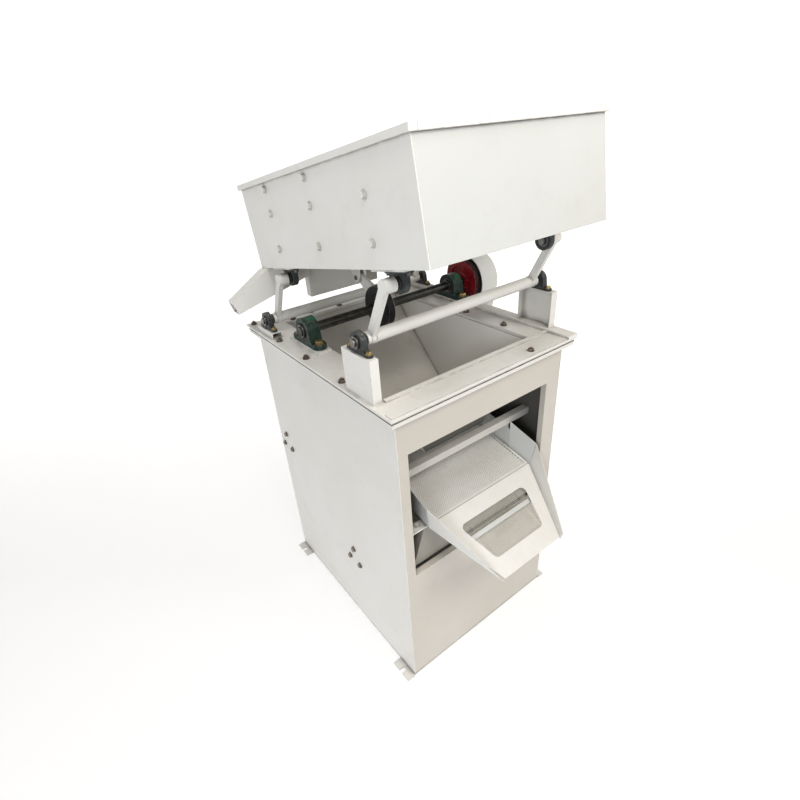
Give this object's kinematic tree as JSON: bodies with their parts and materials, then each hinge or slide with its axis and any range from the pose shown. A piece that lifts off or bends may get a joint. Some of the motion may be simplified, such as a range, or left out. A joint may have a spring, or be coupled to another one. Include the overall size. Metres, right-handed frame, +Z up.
{
  "type": "vibrating grain sieve",
  "caption": "Free-standing sheet-metal cabinet with a sloped sieve box that an eccentric drive rocks on leaning arms, and a front discharge chute.",
  "frame": {"origin": "on the floor, under the middle of the cabinet", "axes": "+Z up, the discharge chute faces -Y, the belt drive is on the +X side"},
  "size_m": [0.874, 1.0189, 1.6409],
  "materials": {
    "cream_paint": "satin",
    "inner_paint": "satin",
    "green_paint": "gloss",
    "dark_iron": "satin",
    "black_paint": "satin",
    "bearing_steel": "polished",
    "shaft_steel": "oiled",
    "yellow_zinc": "plated",
    "dark_bolt": "satin",
    "mesh_steel": "satin",
    "red_paint": "gloss",
    "belt_rubber": "matte"
  },
  "bodies": {
    "cabinet": {"base_frame": "inner_paint", "foot_lugs": "cream_paint", "left_panel": "cream_paint", "right_panel": "cream_paint", "front_panel": "cream_paint", "back_panel": "cream_paint", "corner_uprights": "inner_paint", "cabinet_flange": "cream_paint", "top_frame": "cream_paint", "frame_bolts": "dark_bolt", "hopper_back": "inner_paint", "hopper_sides": "cream_paint", "hopper_front": "inner_paint", "cross_bars": "inner_paint", "fines_slide": "inner_paint", "wall_bolts": "dark_bolt", "tray_floor": "cream_paint", "tray_walls": "cream_paint", "tray_chute": "cream_paint", "tray_mesh": "mesh_steel", "tray_mesh_bar": "cream_paint", "tray_lugs": "cream_paint", "tray_apron": "inner_paint", "left_post": "cream_paint", "right_post": "cream_paint", "bearing_pads": "cream_paint", "rocker_housings": "dark_iron", "drive_housings": "green_paint", "bearing_inserts": "bearing_steel", "bearing_bolts": "yellow_zinc", "belt_guard": "cream_paint", "motor_body": "green_paint", "motor_bed": "inner_paint", "drive_belt": "belt_rubber"},
    "drive": {"drive_shaft": "shaft_steel", "drive_pulley": "red_paint", "eccentric": "shaft_steel"},
    "motor": {"motor_shaft": "shaft_steel", "motor_pulley": "dark_iron"},
    "front_rocker": {"front_tube": "cream_paint", "front_arms": "cream_paint", "front_pins": "bearing_steel"},
    "rear_rocker": {"rear_tube": "cream_paint", "rear_arms": "cream_paint", "rear_pins": "bearing_steel"},
    "sieve_box": {"box_sides": "cream_paint", "box_front": "cream_paint", "box_back": "cream_paint", "box_pan": "inner_paint", "box_rim": "cream_paint", "sieve_screen": "mesh_steel", "screen_ledges": "inner_paint", "box_bolts": "cream_paint", "side_spout": "cream_paint", "drop_throat": "inner_paint", "box_brackets": "cream_paint", "box_housings": "dark_iron", "box_inserts": "bearing_steel"},
    "rod": {"rod_plate": "cream_paint", "rod_head": "black_paint"}
  },
  "joints": [
    {"name": "drive_spin", "type": "hinge", "parent": "cabinet", "child": "drive", "pos_m": [0, 0.102, 1.101], "axis": [1, 0, 0], "continuous": true},
    {"name": "motor_spin", "type": "hinge", "parent": "cabinet", "child": "motor", "pos_m": [0.3, 0.23, 0.4], "axis": [1, 0, 0], "continuous": true},
    {"name": "front_swing", "type": "hinge", "parent": "cabinet", "child": "front_rocker", "pos_m": [0, -0.279, 1.196], "axis": [1, 0, 0], "range_deg": [-1.84, 1.84]},
    {"name": "rear_swing", "type": "hinge", "parent": "cabinet", "child": "rear_rocker", "pos_m": [0, 0.28037, 1.09737], "axis": [1, 0, 0], "range_deg": [-1.84, 1.84]},
    {"name": "box_swing", "type": "hinge", "parent": "front_rocker", "child": "sieve_box", "pos_m": [0, -0.352, 1.334], "axis": [1, 0, 0], "range_deg": [-1.84, 1.84]},
    {"name": "rod_swing", "type": "hinge", "parent": "sieve_box", "child": "rod", "pos_m": [0, 0.23459, 1.17114], "axis": [1, 0, 0], "range_deg": [-1.9, 1.9]}
  ],
  "couplings": [
    {"joint": "motor_spin", "follows": "drive_spin", "ratio": 2.4828},
    {"joint": "rear_swing", "follows": "front_swing", "ratio": 1},
    {"joint": "box_swing", "follows": "front_swing", "ratio": -1}
  ]
}
